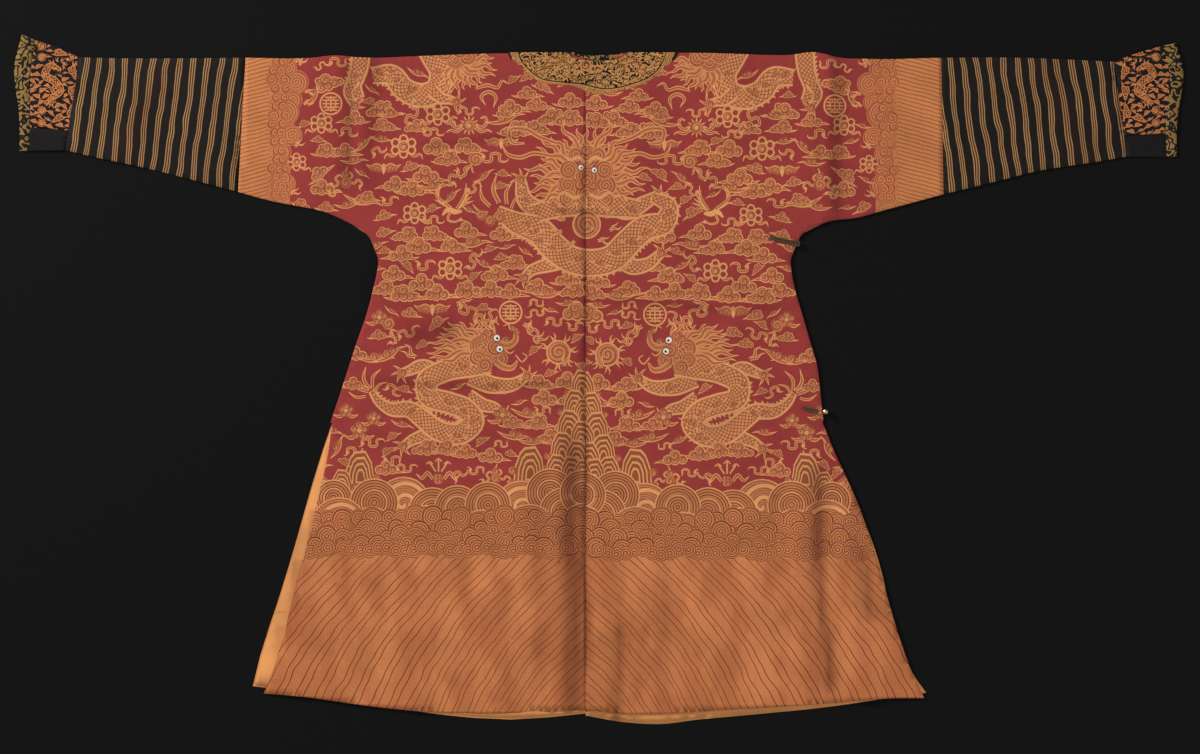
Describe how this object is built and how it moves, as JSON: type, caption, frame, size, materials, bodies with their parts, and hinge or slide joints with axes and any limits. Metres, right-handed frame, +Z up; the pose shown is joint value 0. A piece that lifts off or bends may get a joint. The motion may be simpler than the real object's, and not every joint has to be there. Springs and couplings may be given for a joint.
{
  "type": "chinese dragon robe",
  "caption": "Long robe of figured silk laid out flat, back upwards, with striped sleeves, hoof-shaped cuffs, a ring collar, side vents and closing loops.",
  "frame": {"origin": "middle of the robe's bounding box, on the surface it lies on", "axes": "+X along the sleeves towards the wearer's right hand, +Y from the hem to the neck, +Z up out of the back"},
  "size_m": [2.107, 1.2419, 0.0142],
  "materials": {
    "crimson_silk": "crimson silk woven with gold thread, soft sheen",
    "gold_lining": "orange gold silk, soft sheen",
    "striped_silk": "near black silk with fine gold stripes",
    "cuff_brocade": "black silk worked with orange gold thread",
    "scroll_band": "black silk with a green gold scroll",
    "plain_satin": "plain black satin",
    "collar_brocade": "dark silk worked with gold thread",
    "braid": "dark braided cord",
    "gilt_brass": "worn gilt brass"
  },
  "bodies": {
    "root": {"body_left": "crimson_silk", "body_right": "crimson_silk", "front_overlap": "crimson_silk", "lining_left": "gold_lining", "lining_right": "gold_lining", "sleeve_left": "striped_silk", "sleeve_right": "striped_silk", "cuff_left": "cuff_brocade", "cuff_right": "cuff_brocade", "cuff_gusset_left": "plain_satin", "cuff_gusset_right": "plain_satin", "cuff_band_left": "scroll_band", "cuff_band_right": "scroll_band", "collar": "collar_brocade", "neck_binding": "scroll_band", "loop_underarm": "braid", "loop_side": "braid", "button_side": "gilt_brass"}
  },
  "joints": []
}
